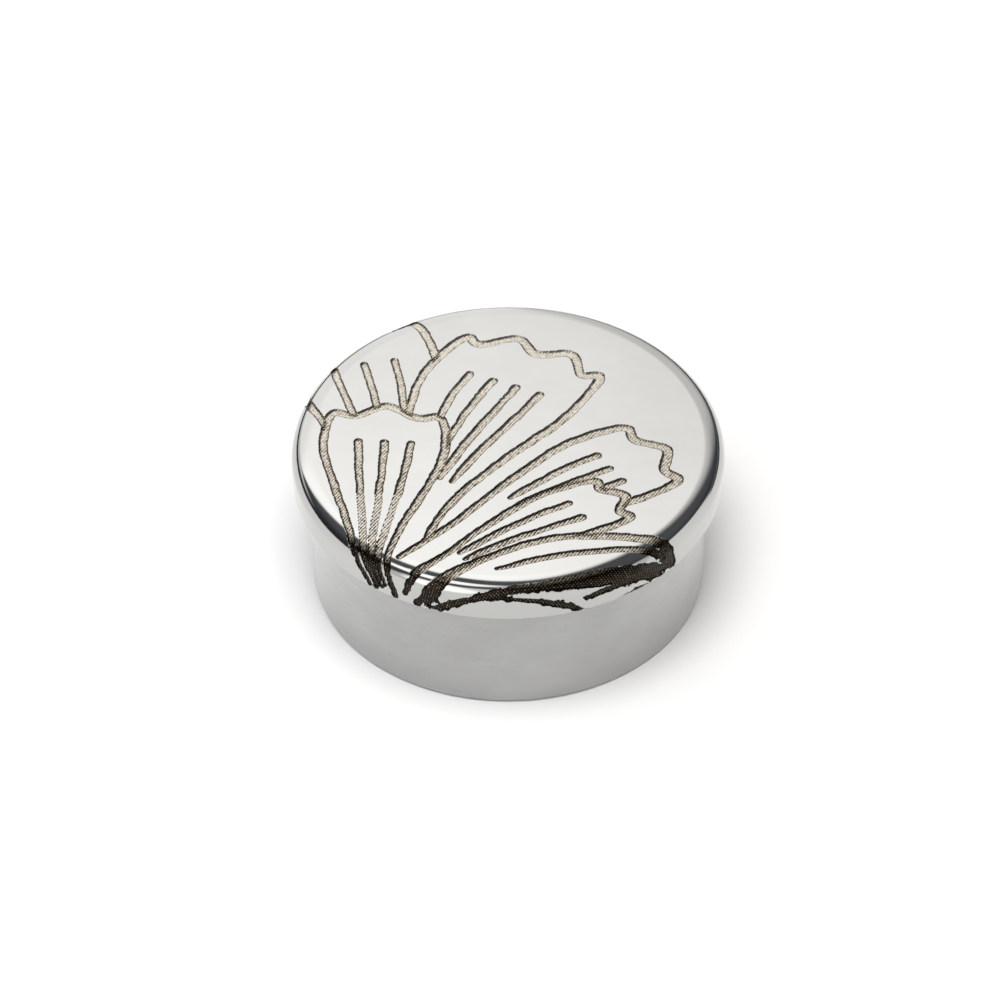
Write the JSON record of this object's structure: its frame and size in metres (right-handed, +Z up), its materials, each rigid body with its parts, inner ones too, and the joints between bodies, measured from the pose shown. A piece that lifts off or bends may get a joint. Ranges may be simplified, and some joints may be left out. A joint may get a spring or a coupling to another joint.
{
  "type": "pill box",
  "caption": "Round metal pill box: straight wall, soldered-in flat base and an engraved slip-on lid that lifts off the open compartment.",
  "frame": {"origin": "centre of the underside, on the surface that the box stands on", "axes": "+Z up along the box's axis of revolution; the front is -Y; +X is the right-hand side seen from the front"},
  "size_m": [0.045, 0.045, 0.0177],
  "materials": {
    "lid_metal": "bright polished pewter-like metal with engraved lines, darkened in the cuts",
    "body_metal": "satin-polished pewter-like metal with faint turning lines",
    "base_metal": "satin pewter-like metal with concentric turning marks"
  },
  "bodies": {
    "body": {"body_wall": "body_metal", "base_disc": "base_metal"},
    "lid": {"lid": "lid_metal"}
  },
  "joints": [
    {"name": "lid_lift", "type": "slide", "parent": "body", "child": "lid", "axis": [0, 0, 1], "range_m": [0, 0.035]}
  ]
}
